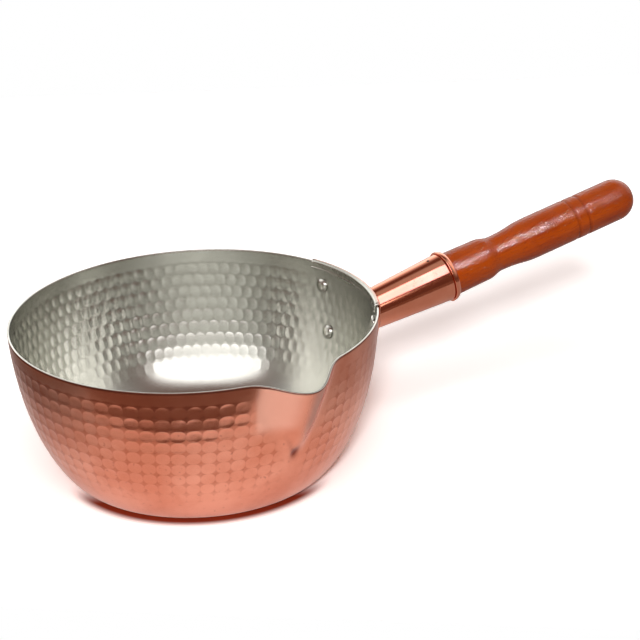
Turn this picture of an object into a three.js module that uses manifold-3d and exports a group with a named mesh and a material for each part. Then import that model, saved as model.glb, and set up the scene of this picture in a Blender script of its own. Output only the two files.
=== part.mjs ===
// Yukihira pan: a tinned copper saucepan with one pouring lip and a turned wooden handle.
// Millimetres, +Z up. The origin is the centre of the base's underside, and the handle points along +X.

import * as THREE from 'three';
import { mergeVertices } from 'three/addons/utils/BufferGeometryUtils.js';
import Module from 'manifold-3d';

const wasm = await Module();
wasm.setup();

// Gap between neighbouring pieces
const CLEARANCE = 0.3;

// Pan
const RIM_BORE = 210;
const PAN_HEIGHT = 91;
const PAN_WALL = 1.2;
const BASE_RADIUS = 74;
const BASE_RUN_ON = 6;
const TURN_HEIGHT = 28;
const WALL_LEAN = 3;

// Pouring lip, with its widths taken round the rim and its depth down from the rim
const LIP_ANGLE = -80.5;
const LIP_WIDTH = 76;
const LIP_FOOT_WIDTH = 16;
const LIP_REACH = 14.5;
const LIP_DEPTH = 51;
const LIP_DROP = 5.5;
const LIP_SHARPNESS = 4.4;

// Bracket, a sheet on the wall that hooks over the rim
const PLATE = 0.9;
const BRACKET_WIDTH = 88;
const BRACKET_FOOT = 40;
const BRACKET_DEPTH = 50;
const BRACKET_SIDE = 7;
const BRACKET_TAPER = 2.2;
const HOOK_DEPTH = 4.5;
const FOLD_RADIUS = 0.25;

// Rivets, with their spread taken round the rim and their depth down from the rim
const UPPER_SPREAD = 70;
const UPPER_DEPTH = 14;
const LOWER_SPREAD = 52;
const LOWER_DEPTH = 41;
const SHANK_RADIUS = 1.9;
const HEAD_RADIUS = 4.5;
const HEAD_HEIGHT = 2.2;
const TAIL_RADIUS = 2.9;
const TAIL_HEIGHT = 1.6;

// Handle axis, which leaves the wall this far below the rim and climbs
const HANDLE_DEPTH = 23.5;
const HANDLE_TILT = 12.5;

// Socket, a cone of sheet
const SOCKET_LENGTH = 61.2;
const SOCKET_ROOT_RADIUS = 11.5;
const SOCKET_MOUTH_RADIUS = 15;
const SOCKET_WALL = 1;

// Ferrule ring at the socket's mouth
const RING_WIDTH = 3.8;
const RING_PROUD = 1.1;
const RING_EDGE = 0.5;

// Wooden handle, with its stations taken from the socket's mouth
const TENON_LENGTH = 36.2;
const HANDLE_LENGTH = 139.3;
const COLLAR_TAPER = 0.5;
const COLLAR_LENGTH = 26.8;
const WAIST_RADIUS = 11.2;
const WAIST_STATION = 38.3;
const GRIP_RADIUS = 13.3;
const GRIP_STATION = 65.8;
const BUTT_LENGTH = 13;
const GROOVE_FROM_BUTT = 38;
const GROOVE_PITCH = 8;
const GROOVE_WIDTH = 1.8;
const GROOVE_DEPTH = 0.8;

// Nail that pins the handle in its socket, from above
const NAIL_INSET = 7.2;
const NAIL_RADIUS = 0.9;
const NAIL_LENGTH = 12;
const NAIL_SUNK = 0.3;

// Facets
const PAN_ROWS = 14;
const LIP_COLUMNS = 20;
const WALL_COLUMNS = 80;
const LEANING_COLUMNS = 8;
const LIP_GATHER = 0.5;
const BRACKET_COLUMNS = 22;
const BRACKET_WALL_ROWS = 8;
const FOLD_STEPS = 3;
const TURNED_SIDES = 36;
const RIVET_SIDES = 16;
const CURVE_STEPS = 5;

const rimRadius = RIM_BORE / 2 + PAN_WALL;
const roundTheRim = (length) => length / rimRadius;
const { degToRad, lerp, clamp } = THREE.MathUtils;

// Outside of the wall from the flat base to the rim, as radius and height
const wallCurve = new THREE.CubicBezierCurve(
  new THREE.Vector2(BASE_RADIUS, 0),
  new THREE.Vector2(BASE_RADIUS + BASE_RUN_ON, 0),
  new THREE.Vector2(rimRadius - WALL_LEAN, TURN_HEIGHT),
  new THREE.Vector2(rimRadius, PAN_HEIGHT),
);

// Place on the wall curve that lies a given depth below the rim
function wallPlace(depth) {
  let low = 0;
  let high = 1;
  for (let step = 0; step < 40; step += 1) {
    const middle = (low + high) / 2;
    if (wallCurve.getPoint(middle).y < PAN_HEIGHT - depth) low = middle;
    else high = middle;
  }
  return (low + high) / 2;
}

// Outward normal of the wall, as radius and height
function wallNormal(place) {
  const along = wallCurve.getTangent(place);
  return new THREE.Vector2(along.y, -along.x);
}

function wallPoint(place, offset) {
  return wallCurve.getPoint(place).addScaledVector(wallNormal(place), offset);
}

function turned(point, angle) {
  return new THREE.Vector3(point.x * Math.cos(angle), point.x * Math.sin(angle), point.y);
}

// Closed sheet between two faces, each a function of column and row that gives a point.
// A round sheet closes on itself, and its row 0 is the single point in the middle.
function sheet(columns, rows, outside, inside, round) {
  const positions = [];
  const triangles = [];
  const grids = [outside, inside].map((face) => {
    const grid = [];
    for (let column = 0; column <= columns; column += 1) {
      grid.push([]);
      for (let row = 0; row <= rows; row += 1) {
        if (round && column === columns) grid[column].push(grid[0][row]);
        else if (round && row === 0 && column > 0) grid[column].push(grid[0][0]);
        else {
          grid[column].push(positions.length / 3);
          positions.push(...face(column, row).toArray());
        }
      }
    }
    return grid;
  });
  const triangle = (a, b, c) => {
    if (a !== b && b !== c && c !== a) triangles.push(a, b, c);
  };
  const quad = (a, b, c, d) => {
    triangle(a, b, c);
    triangle(a, c, d);
  };
  const [out, into] = grids;
  for (let c = 0; c < columns; c += 1) {
    for (let r = 0; r < rows; r += 1) {
      quad(out[c][r], out[c + 1][r], out[c + 1][r + 1], out[c][r + 1]);
      quad(into[c][r], into[c][r + 1], into[c + 1][r + 1], into[c + 1][r]);
    }
    quad(out[c][rows], out[c + 1][rows], into[c + 1][rows], into[c][rows]);
    if (!round) quad(out[c + 1][0], out[c][0], into[c][0], into[c + 1][0]);
  }
  for (let r = 0; r < rows && !round; r += 1) {
    quad(out[0][r], out[0][r + 1], into[0][r + 1], into[0][r]);
    quad(out[columns][r + 1], out[columns][r], into[columns][r], into[columns][r + 1]);
  }
  const geometry = new THREE.BufferGeometry();
  geometry.setAttribute('position', new THREE.Float32BufferAttribute(positions, 3));
  geometry.setIndex(triangles);
  return geometry;
}

function solid(geometry) {
  const bare = geometry.clone();
  bare.deleteAttribute('normal');
  bare.deleteAttribute('uv');
  const merged = mergeVertices(bare, 1e-4);
  return new wasm.Manifold(new wasm.Mesh({
    numProp: 3,
    vertProperties: new Float32Array(merged.attributes.position.array),
    triVerts: new Uint32Array(merged.index.array),
  }));
}

function cut(geometry, cutters) {
  let body = solid(geometry);
  for (const cutter of cutters) body = body.subtract(solid(cutter));
  const mesh = body.getMesh();
  const result = new THREE.BufferGeometry();
  result.setAttribute('position', new THREE.BufferAttribute(mesh.vertProperties, 3));
  result.setIndex(new THREE.BufferAttribute(mesh.triVerts, 1));
  result.computeVertexNormals();
  return result;
}

function add(parent, name, geometry, material) {
  const mesh = new THREE.Mesh(geometry, new THREE.MeshStandardMaterial(material));
  mesh.name = name;
  parent.add(mesh);
  return mesh;
}

const copper = { color: 0xd08262, metalness: 1, roughness: 0.34 };
const polishedCopper = { color: 0xd68a68, metalness: 1, roughness: 0.14 };
const tin = { color: 0xc9c6bb, metalness: 1, roughness: 0.25 };
const steel = { color: 0x4a403a, metalness: 1, roughness: 0.5 };
const varnishedWood = { color: 0xa8480f, metalness: 0, roughness: 0.3 };

// How far up the pouring lip a height is, from its foot on the wall to the rim
const lipRise = (height) => clamp(1 - (PAN_HEIGHT - height) / LIP_DEPTH, 0, 1);
const lipHalfAngle = (rise) => roundTheRim(lerp(LIP_FOOT_WIDTH, LIP_WIDTH, rise) / 2);

// Outside of the pan: the turned wall, pulled out and down where the lip is
function panPoint(place, angle) {
  const point = wallCurve.getPoint(place);
  const rise = lipRise(point.y);
  const across = Math.min(Math.abs(angle) / lipHalfAngle(rise), 1);
  const pull = rise * (1 - across ** 2) ** LIP_SHARPNESS;
  point.x += LIP_REACH * pull;
  point.y -= LIP_DROP * pull * rise;
  return turned(point, angle + degToRad(LIP_ANGLE));
}

// Columns gather on the lip, most of all in its middle, and follow its narrowing sides down the wall.
// The nearest columns beside the lip lean with it, and the others stand upright.
function panAngle(column, place) {
  const edge = lipHalfAngle(lipRise(wallCurve.getPoint(place).y));
  if (column <= LIP_COLUMNS) {
    const across = lerp(-1, 1, column / LIP_COLUMNS);
    return edge * across * lerp(LIP_GATHER, 1, Math.abs(across));
  }
  const rimEdge = lipHalfAngle(1);
  const round = lerp(-1, 1, (column - LIP_COLUMNS) / WALL_COLUMNS);
  const fromEdge = (1 - Math.abs(round)) * (WALL_COLUMNS / 2);
  const lean = (rimEdge - edge) * clamp(1 - fromEdge / LEANING_COLUMNS, 0, 1);
  return Math.PI + round * (Math.PI - rimEdge) + Math.sign(round) * lean;
}

// Angle from the lip's middle, between minus and plus half a turn
const fromLip = (angle) => (angle > Math.PI ? angle - 2 * Math.PI : angle);

function panNormal(place, angle) {
  const small = 1e-3;
  const inward = clamp(place, small, 1 - small);
  const up = panPoint(inward + small, angle).sub(panPoint(inward - small, angle));
  const round = panPoint(inward, angle + small).sub(panPoint(inward, angle - small));
  return round.cross(up).normalize();
}

function panFace(depth) {
  return (column, row) => {
    if (row === 0) return new THREE.Vector3(0, 0, depth);
    const place = (row - 1) / (PAN_ROWS - 1);
    const angle = fromLip(panAngle(column, place));
    if (row === 1) return panPoint(0, angle).setZ(depth);
    return panPoint(place, angle).addScaledVector(panNormal(place, angle), -depth);
  };
}

// Rivets sit square to the wall, in pairs on either side of the handle
const rivets = [];
for (const [level, spread, depth] of [
  ['upper', UPPER_SPREAD, UPPER_DEPTH],
  ['lower', LOWER_SPREAD, LOWER_DEPTH],
]) {
  for (const [side, sign] of [['left', 1], ['right', -1]]) {
    const angle = sign * roundTheRim(spread / 2);
    const place = wallPlace(depth);
    rivets.push({
      name: `rivet_${level}_${side}`,
      position: turned(wallPoint(place, 0), angle),
      direction: turned(wallNormal(place), angle),
    });
  }
}

function squareToWall(object, rivet) {
  object.position.copy(rivet.position);
  object.quaternion.setFromUnitVectors(new THREE.Vector3(0, 1, 0), rivet.direction);
  object.updateMatrix();
  return object;
}

const rivetHoles = rivets.map((rivet) => {
  const length = 4 * (PAN_WALL + PLATE + CLEARANCE);
  const radius = SHANK_RADIUS + CLEARANCE;
  const hole = new THREE.CylinderGeometry(radius, radius, length, RIVET_SIDES);
  return hole.applyMatrix4(squareToWall(new THREE.Object3D(), rivet).matrix);
});

const pan = new THREE.Group();

function addPanBody() {
  const columns = LIP_COLUMNS + WALL_COLUMNS;
  const body = sheet(columns, PAN_ROWS, panFace(0), panFace(PAN_WALL), true);
  add(pan, 'pan_body', cut(body, rivetHoles), copper);
}

// Bracket's wall side from its lower edge up the wall, over the rim and down inside, with normals
function bracketSection(depth) {
  const section = [];
  const lowest = wallPlace(depth);
  for (let row = 0; row < BRACKET_WALL_ROWS; row += 1) {
    const place = lerp(lowest, 1, row / BRACKET_WALL_ROWS);
    section.push([wallPoint(place, CLEARANCE), wallNormal(place)]);
  }
  const top = PAN_HEIGHT + CLEARANCE - FOLD_RADIUS;
  const outer = rimRadius + CLEARANCE - FOLD_RADIUS;
  const inner = RIM_BORE / 2 - CLEARANCE + FOLD_RADIUS;
  for (const [centre, start] of [[outer, 0], [inner, Math.PI / 2]]) {
    for (let step = 0; step <= FOLD_STEPS; step += 1) {
      const turn = start + (Math.PI / 2) * (step / FOLD_STEPS);
      const normal = new THREE.Vector2(Math.cos(turn), Math.sin(turn));
      section.push([new THREE.Vector2(centre, top).addScaledVector(normal, FOLD_RADIUS), normal]);
    }
  }
  const flapPlace = wallPlace(HOOK_DEPTH);
  section.push([wallPoint(flapPlace, -PAN_WALL - CLEARANCE), wallNormal(flapPlace).negate()]);
  return section;
}

// Depth of the bracket's lower edge, level at the foot and then climbing to the straight sides
function bracketDepth(across) {
  const foot = BRACKET_FOOT / 2;
  const beside = clamp((Math.abs(across) - foot) / (BRACKET_WIDTH / 2 - foot), 0, 1);
  return lerp(BRACKET_DEPTH, BRACKET_SIDE, beside ** BRACKET_TAPER);
}

function addBracket() {
  const columns = [];
  for (let column = 0; column <= BRACKET_COLUMNS; column += 1) {
    const across = Math.sin(Math.PI * (column / BRACKET_COLUMNS - 0.5)) * (BRACKET_WIDTH / 2);
    columns.push({ angle: roundTheRim(across), section: bracketSection(bracketDepth(across)) });
  }
  const face = (offset) => (column, row) => {
    const { angle, section } = columns[column];
    const [point, normal] = section[row];
    return turned(point.clone().addScaledVector(normal, offset), angle);
  };
  const rows = columns[0].section.length - 1;
  const plate = sheet(BRACKET_COLUMNS, rows, face(PLATE), face(0), false);
  add(pan, 'handle_bracket', cut(plate, rivetHoles), copper);
}

// Half of a dome's outline, from its rim at a radius to its top on the axis
function dome(radius, base, height) {
  const outline = [];
  for (let step = 0; step <= CURVE_STEPS; step += 1) {
    const turn = (Math.PI / 2) * (step / CURVE_STEPS);
    const across = step === CURVE_STEPS ? 0 : radius * Math.cos(turn);
    outline.push(new THREE.Vector2(across, base + height * Math.sin(turn)));
  }
  return outline;
}

// Each rivet has its head inside the pan and its peened tail on the bracket
function addRivets() {
  const headSeat = -PAN_WALL - CLEARANCE - HEAD_RADIUS ** 2 / RIM_BORE;
  const tailSeat = CLEARANCE + PLATE + CLEARANCE;
  const outline = [
    ...dome(HEAD_RADIUS, headSeat, -HEAD_HEIGHT).reverse(),
    new THREE.Vector2(SHANK_RADIUS, headSeat),
    new THREE.Vector2(SHANK_RADIUS, tailSeat),
    ...dome(TAIL_RADIUS, tailSeat, TAIL_HEIGHT),
  ];
  for (const rivet of rivets) {
    const mesh = add(pan, rivet.name, new THREE.LatheGeometry(outline, RIVET_SIDES), tin);
    squareToWall(mesh, rivet);
  }
}

// The handle's own frame starts on the wall and has the handle's axis as its +X
const handle = new THREE.Group();
const handleRoot = wallPoint(wallPlace(HANDLE_DEPTH), 0);
handle.position.set(handleRoot.x, 0, handleRoot.y);
handle.rotation.y = -degToRad(HANDLE_TILT);
handle.updateMatrix();
pan.add(handle);

const socketRadius = (station) => (
  lerp(SOCKET_ROOT_RADIUS, SOCKET_MOUTH_RADIUS, station / SOCKET_LENGTH)
);

// The wood fills the socket and leaves its mouth at the same radius
const tenonRadius = (station) => socketRadius(station) - SOCKET_WALL - CLEARANCE;
const collarRadius = tenonRadius(SOCKET_LENGTH);

// Solid of revolution about the handle's axis, from an outline of radius and station
function turnedOnAxis(outline, sides) {
  return new THREE.LatheGeometry(outline, sides).rotateZ(-Math.PI / 2);
}

// Upright cylinder in the handle's frame, between two heights over the axis at the nail
function nailCylinder(radius, low, high) {
  const cylinder = new THREE.CylinderGeometry(radius, radius, high - low, RIVET_SIDES);
  return cylinder.rotateX(Math.PI / 2).translate(SOCKET_LENGTH - NAIL_INSET, 0, (low + high) / 2);
}

const nailTop = socketRadius(SOCKET_LENGTH - NAIL_INSET) - NAIL_SUNK;
const nailTip = nailTop - NAIL_LENGTH;
const nailHole = nailCylinder(NAIL_RADIUS + CLEARANCE, nailTip - CLEARANCE, nailTop + SOCKET_WALL);

function addSocket() {
  const start = -SOCKET_ROOT_RADIUS;
  const corner = (station, inset) => new THREE.Vector2(socketRadius(station) - inset, station);
  const outline = [
    corner(start, 0),
    corner(SOCKET_LENGTH, 0),
    corner(SOCKET_LENGTH, SOCKET_WALL),
    corner(start, SOCKET_WALL),
    corner(start, 0),
  ];
  const seat = [new THREE.Vector2(0, 0)];
  for (let row = 0; row <= PAN_ROWS; row += 1) {
    seat.push(wallPoint(row / PAN_ROWS, CLEARANCE + PLATE + CLEARANCE));
  }
  seat.push(new THREE.Vector2(0, PAN_HEIGHT));
  const seatSolid = new THREE.LatheGeometry(seat, 2 * WALL_COLUMNS).rotateX(Math.PI / 2);
  seatSolid.applyMatrix4(handle.matrix.clone().invert());
  const socket = cut(turnedOnAxis(outline, TURNED_SIDES), [seatSolid, nailHole]);
  add(handle, 'handle_socket', socket, polishedCopper);
}

function addFerruleRing() {
  const inner = collarRadius + CLEARANCE;
  const outer = SOCKET_MOUTH_RADIUS + RING_PROUD;
  const near = SOCKET_LENGTH + CLEARANCE;
  const far = near + RING_WIDTH;
  const section = new THREE.Path();
  section.moveTo(inner, near);
  section.lineTo(outer - RING_EDGE, near);
  section.lineTo(outer, near + RING_EDGE);
  section.bezierCurveTo(outer, near + RING_WIDTH / 2, inner + 2 * RING_EDGE, far, inner + RING_EDGE, far);
  section.lineTo(inner, far);
  section.lineTo(inner, near);
  const outline = section.getPoints(CURVE_STEPS);
  add(handle, 'ferrule_ring', turnedOnAxis(outline, TURNED_SIDES), polishedCopper);
}

function addWoodenHandle() {
  const mouth = SOCKET_LENGTH;
  const tenonEnd = mouth - TENON_LENGTH;
  const collarEnd = mouth + COLLAR_LENGTH;
  const collarEndRadius = collarRadius - COLLAR_TAPER;
  const waist = mouth + WAIST_STATION;
  const grip = mouth + GRIP_STATION;
  const butt = mouth + HANDLE_LENGTH;
  const profile = new THREE.Path();
  profile.moveTo(0, tenonEnd);
  profile.lineTo(tenonRadius(tenonEnd), tenonEnd);
  profile.lineTo(collarRadius, mouth);
  profile.lineTo(collarEndRadius, collarEnd);
  const step = (waist - collarEnd) / 2;
  profile.bezierCurveTo(
    collarEndRadius, collarEnd + step, WAIST_RADIUS, waist - step, WAIST_RADIUS, waist,
  );
  const swell = (grip - waist) / 2;
  profile.bezierCurveTo(WAIST_RADIUS, waist + swell, GRIP_RADIUS, grip - swell, GRIP_RADIUS, grip);
  for (const groove of [butt - GROOVE_FROM_BUTT - GROOVE_PITCH, butt - GROOVE_FROM_BUTT]) {
    profile.lineTo(GRIP_RADIUS, groove - GROOVE_WIDTH / 2);
    profile.lineTo(GRIP_RADIUS - GROOVE_DEPTH, groove);
    profile.lineTo(GRIP_RADIUS, groove + GROOVE_WIDTH / 2);
  }
  const outline = profile.getPoints(CURVE_STEPS);
  outline.push(...dome(GRIP_RADIUS, butt - BUTT_LENGTH, BUTT_LENGTH));
  const wood = cut(turnedOnAxis(outline, TURNED_SIDES), [nailHole]);
  add(handle, 'wooden_handle', wood, varnishedWood);
}

function addNail() {
  add(handle, 'handle_nail', nailCylinder(NAIL_RADIUS, nailTip, nailTop), steel);
}

addPanBody();
addBracket();
addRivets();
addSocket();
addFerruleRing();
addWoodenHandle();
addNail();

export default pan;
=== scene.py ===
import bmesh
import bpy
import numpy as np
from mathutils import Matrix


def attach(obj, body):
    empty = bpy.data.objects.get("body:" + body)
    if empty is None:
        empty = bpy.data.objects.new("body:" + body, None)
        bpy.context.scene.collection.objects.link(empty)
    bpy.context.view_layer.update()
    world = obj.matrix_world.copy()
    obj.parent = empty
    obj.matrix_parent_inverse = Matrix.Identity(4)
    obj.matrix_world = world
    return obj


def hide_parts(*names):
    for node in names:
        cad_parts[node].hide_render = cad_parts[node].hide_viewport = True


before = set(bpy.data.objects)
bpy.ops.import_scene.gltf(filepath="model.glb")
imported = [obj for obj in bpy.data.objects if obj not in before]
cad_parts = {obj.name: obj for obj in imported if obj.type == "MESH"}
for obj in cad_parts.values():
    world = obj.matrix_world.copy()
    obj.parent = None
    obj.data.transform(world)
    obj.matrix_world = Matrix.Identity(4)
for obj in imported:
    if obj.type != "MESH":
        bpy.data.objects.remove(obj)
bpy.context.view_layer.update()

# Pan body: a round blank of copper sheet, drawn into a bowl and struck with rows of hammer marks.
# The pouring lip is pulled out of the wall, and the inside and the rim are wiped with tin.
rim_radius, pan_height, pan_wall = 106.2, 91.0, 1.2
base_radius, base_curve, rim_flare, rim_curve = 74.0, 6.0, 3.0, 28.0
lip_angle, lip_width, lip_foot = np.radians(-80.5), 76.0, 16.0
lip_reach, lip_depth, lip_drop, lip_sharpness = 14.5, 51.0, 5.5, 4.4
mark_columns, crowded_columns, mark_rows, mark_pitch, mark_top = 87, 10, 9, 7.29, 82.4
mark_start, mark_slant, mark_middle = np.radians(-116.2), 0.0102, 47.7
mark_depth, mark_round, dome_height, mark_steps, brick_from = 0.15, 2.25, 0.42, 6, 0.26
soft_blow, hard_blow, most_lean = 0.75, 1.15, 0.7
calm_share, calm_from, calm_to, calm_lip = 0.6, (-66, -52), (26, 34), (0.8, 1.25)
back_dome, back_turn, back_width = 0.35, 60, (14, 34)
row_blows = np.array([1, 1, 1, 1, 1, 1, 0.9, 0.75, 0.35])
row_domes = np.array([0.9, 1, 1, 1, 0.95, 0.85, 0.7, 0.5, 0.35])
chance = np.random.default_rng(5)
blows = chance.uniform(soft_blow, hard_blow, (mark_rows, mark_columns)) * row_blows[:, None]
leans = chance.uniform(-most_lean, most_lean, (2, mark_rows, mark_columns))


def bezier(corners, t):
    """Points on a cubic curve: its four corners weighed by the Bernstein powers of t and 1 - t."""
    a, b, c, d = np.asarray(corners, float)
    t = np.asarray(t, float)[..., None]
    return a * (1 - t) ** 3 + 3 * b * t * (1 - t) ** 2 + 3 * c * t ** 2 * (1 - t) + d * t ** 3


def wall_profile(place):
    """Radius and height of the wall's outside, a cubic curve from the base's edge to the rim."""
    corners = [(base_radius, 0), (base_radius + base_curve, 0),
               (rim_radius - rim_flare, rim_curve), (rim_radius, pan_height)]
    return bezier(corners, place)


even_places = np.linspace(0, 1, 4001)
even_heights = wall_profile(even_places)[:, 1]


def place_at(height):
    """Place on the wall profile that has a given height."""
    return np.interp(height, even_heights, even_places)


def ease(low, high, x):
    """Smooth step from 0 at low to 1 at high."""
    t = np.clip((x - low) / (high - low), 0, 1)
    return t * t * (3 - 2 * t)


def lip_share(angle, height):
    """Rise up the lip, 0 at its foot and 1 at the rim, and the share of the lip's half width at an
    angle."""
    rise = np.clip(1 - (pan_height - height) / lip_depth, 0, 1)
    half = (lip_foot + (lip_width - lip_foot) * rise) / 2 / rim_radius
    return rise, np.abs((angle - lip_angle + np.pi) % (2 * np.pi) - np.pi) / half


def pan_outside(place, angle):
    """The wall profile turned about Z, moved out and down on the lip by a bell that grows with the
    rise."""
    radius, height = np.moveaxis(wall_profile(place), -1, 0)
    rise, share = lip_share(angle, height)
    pull = rise * np.clip(1 - share ** 2, 0, 1) ** lip_sharpness
    radius, height = radius + lip_reach * pull, height - lip_drop * pull * rise
    return np.stack([radius * np.cos(angle), radius * np.sin(angle), height], -1)


def pan_normal(place, angle):
    """Outward normal of the bowl: the cross product of its directions round and up."""
    step = 1e-3
    place = np.clip(place, step, 1 - step)
    up = pan_outside(place + step, angle) - pan_outside(place - step, angle)
    round_it = pan_outside(place, angle + step) - pan_outside(place, angle - step)
    normal = np.cross(round_it, up)
    return normal / np.linalg.norm(normal, axis=-1, keepdims=True)


def mark_column(angle):
    """Column of the marks' grid at an angle: an even share of the turn, less a sine, so that the
    columns crowd together on the side away from where they start."""
    turn = angle - mark_start
    return (mark_columns * turn - crowded_columns * np.sin(turn)) / (2 * np.pi)


def mark_dishes(angle, height):
    """Depth of the hammer marks, height of the domes behind them, and how hard each was struck. In
    each cell of the grid the dish is one minus the fourth power of the distance from the middle,
    rounded off to the corners, and leans a little by chance; the dome is one minus the distance
    squared. The grid's columns slant down the wall, and on the side away from where they start
    every second row is moved on by half a mark, as bricks lie. The marks fade on the lip and round
    the bracket, and the domes are low at the back."""
    hair = 1e-9
    row = (mark_top - height) / mark_pitch + 0 * angle
    line = np.floor(row + hair).astype(int)
    bricked = 0.5 * ease(-brick_from, brick_from, -np.cos(angle - mark_start))
    column = mark_column(angle) - mark_slant * (height - mark_middle) + (line % 2) * bricked
    across, down = 2 * (column % 1) - 1, 2 * (row % 1) - 1
    distance = (np.abs(across) ** mark_round + np.abs(down) ** mark_round) ** (4 / mark_round)
    cell = np.clip(line, 0, mark_rows - 1), np.floor(column + hair).astype(int) % mark_columns
    struck = np.where((line >= 0) & (line < mark_rows), blows[cell], 0)
    turn = (np.degrees(angle) + 180) % 360 - 180
    struck *= 1 - calm_share * ease(*calm_from, turn) * (1 - ease(*calm_to, turn))
    struck *= ease(*calm_lip, lip_share(angle, height)[1])
    dish = np.clip(1 - distance, 0, 1) * (1 + leans[0][cell] * across + leans[1][cell] * down)
    dome = np.clip(1 - across ** 2 - down ** 2, 0, 1)
    dome *= back_dome + (1 - back_dome) * ease(*back_width, np.abs(turn - back_turn))
    return mark_depth * struck * dish, dome_height * row_domes[cell[0]] * struck * dome, struck


crease_radius, crease_end, crease_slope, crease_length = 100, (-1.2, 41), (-8.6, 18.0), 17
crease_depth, crease_width, crease_fade = 0.32, 1.1, 20
pinch_depth, pinch_spot, pinch_width, pinch_tall = 0.75, (-0.4, 42), 5 ** 0.5, 3.8


def lip_crease(angle, height):
    """Depth of the crease left of the lip's foot: a groove along a slanting line, a bell of the
    distance from it, that ends low down in a deeper pinch, a bell of the distance from a point.
    Lengths round the wall are in mm."""
    beside = (angle - lip_angle) * crease_radius
    from_end = np.broadcast_arrays(beside - crease_end[0], height - crease_end[1])
    from_end = np.stack(from_end, -1)
    way = np.array(crease_slope) / np.hypot(*crease_slope)
    along = np.clip(from_end @ way, 0, crease_length)
    away = np.hypot(*np.moveaxis(from_end - along[..., None] * way, -1, 0))
    groove = crease_depth * np.exp(-(away / crease_width) ** 2) * (1 - along / crease_fade)
    from_pinch = ((beside - pinch_spot[0]) / pinch_width) ** 2
    from_pinch = from_pinch + ((height - pinch_spot[1]) / pinch_tall) ** 2
    return groove + pinch_depth * np.exp(-from_pinch)


def piece_mesh(name, grids, wrap_rows=False, wrap_columns=True, masks=None):
    """Mesh of grids of points in millimetres, rows by columns, joined into quads row to row.
    Rings close on themselves, and points in one place, such as a pole's, are merged."""
    points, quads, start = [], [], 0
    for grid in grids:
        index = np.arange(grid.shape[0] * grid.shape[1]).reshape(grid.shape[:2]) + start
        start += index.size
        points.append(grid.reshape(-1, 3))
        if wrap_columns:
            index = np.concatenate([index, index[:, :1]], 1)
        if wrap_rows:
            index = np.concatenate([index, index[:1]], 0)
        corners = [index[:-1, :-1], index[:-1, 1:], index[1:, 1:], index[1:, :-1]]
        quads.append(np.stack(corners, -1).reshape(-1, 4))
    points, quads = np.concatenate(points) / 1000, np.concatenate(quads)
    mesh = bpy.data.meshes.new(name)
    mesh.vertices.add(len(points))
    mesh.vertices.foreach_set("co", points.ravel())
    mesh.loops.add(quads.size)
    mesh.loops.foreach_set("vertex_index", quads.ravel())
    mesh.polygons.add(len(quads))
    mesh.polygons.foreach_set("loop_start", np.arange(0, quads.size, 4))
    for mask, values in (masks or {}).items():
        values = values.ravel().astype(np.float32)
        mesh.attributes.new(mask, "FLOAT", "POINT").data.foreach_set("value", values)
    mesh.update(calc_edges=True)
    work = bmesh.new()
    work.from_mesh(mesh)
    bmesh.ops.remove_doubles(work, verts=work.verts, dist=1e-7)
    work.to_mesh(mesh)
    work.free()
    mesh.shade_smooth()
    piece = bpy.data.objects.new(name, mesh)
    bpy.context.scene.collection.objects.link(piece)
    return piece


rim_edge, foot_rows, top_rows, rim_rows = 0.35, 12, 7, 8
spare_turn, box_margin, dark_crease = 0.2, 0.9997, 0.6
floor_rings = np.array([0, 0.25, 0.5, 0.75, 0.92, 0.98])
marked = mark_top - mark_pitch * np.arange(mark_rows * mark_steps + 1) / mark_steps
places = np.concatenate([
    np.linspace(0, place_at(marked[-1]), foot_rows)[:-1],
    place_at(marked[::-1]),
    place_at(np.linspace(mark_top, pan_height - rim_edge, top_rows)[1:]),
])[:, None]
heights = wall_profile(places)[..., 1]
columns = np.arange(mark_columns * mark_steps)[None] / mark_steps
columns = columns + mark_slant * (heights - mark_middle)
even_angles = mark_start + np.linspace(-spare_turn, 2 * np.pi + spare_turn, 8001)
angles = np.interp(columns, mark_column(even_angles), even_angles)
dishes, domes, struck = mark_dishes(angles, heights)
creases = lip_crease(angles, heights)
normals = pan_normal(places, angles)
smooth = pan_outside(places, angles)
outside = smooth - normals * (dishes + creases)[..., None]
inside = smooth - normals * (pan_wall + domes + creases)[..., None]
turn = np.linspace(0, np.pi, rim_rows)[1:-1, None, None]
rim_lift = pan_outside(np.ones((1, 1)), angles[-1:]) - smooth[-1:]
rim_middle, rim_half = (outside[-1] + inside[-1]) / 2, (outside[-1] - inside[-1]) / 2
rim = rim_middle + rim_half * np.cos(turn) + rim_lift * np.sin(turn)
shrink = np.stack([floor_rings, floor_rings, np.ones_like(floor_rings)], -1)[:, None]
underside, floor_inside = outside[:1] * shrink, inside[:1] * shrink
pan_grid = np.concatenate([underside, outside, rim, inside[::-1], floor_inside[::-1]])
pan_grid[..., :2] *= box_margin

tin_from = len(underside) + len(outside) + 1
tinned, rim_shade = np.zeros(pan_grid.shape[:2]), np.zeros(pan_grid.shape[:2])
tinned[tin_from:] = 1
# Painted shade: a dark line is painted on the outside just under the rim.
rim_shade[tin_from - 2:tin_from] = 1
beside_lip = np.degrees(angles - lip_angle)


def lip_band(rise, start, end):
    """Mask on the lip: smooth steps up the wall in mm, and in and out round it in degrees."""
    return ease(*rise, heights) * ease(*start, beside_lip) * (1 - ease(*end, beside_lip))


# Painted reflections on the lip: its left flank is painted a light pink as a bright reflection, and
# a greyer band is painted down its keel as a dull reflection.
flank_highlight = lip_band(rise=(57, 66), start=(-14.7, -13.2), end=(-6, 1))
keel = lip_band(rise=(50, 64), start=(-1.5, 1.5), end=(3, 8))
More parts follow.
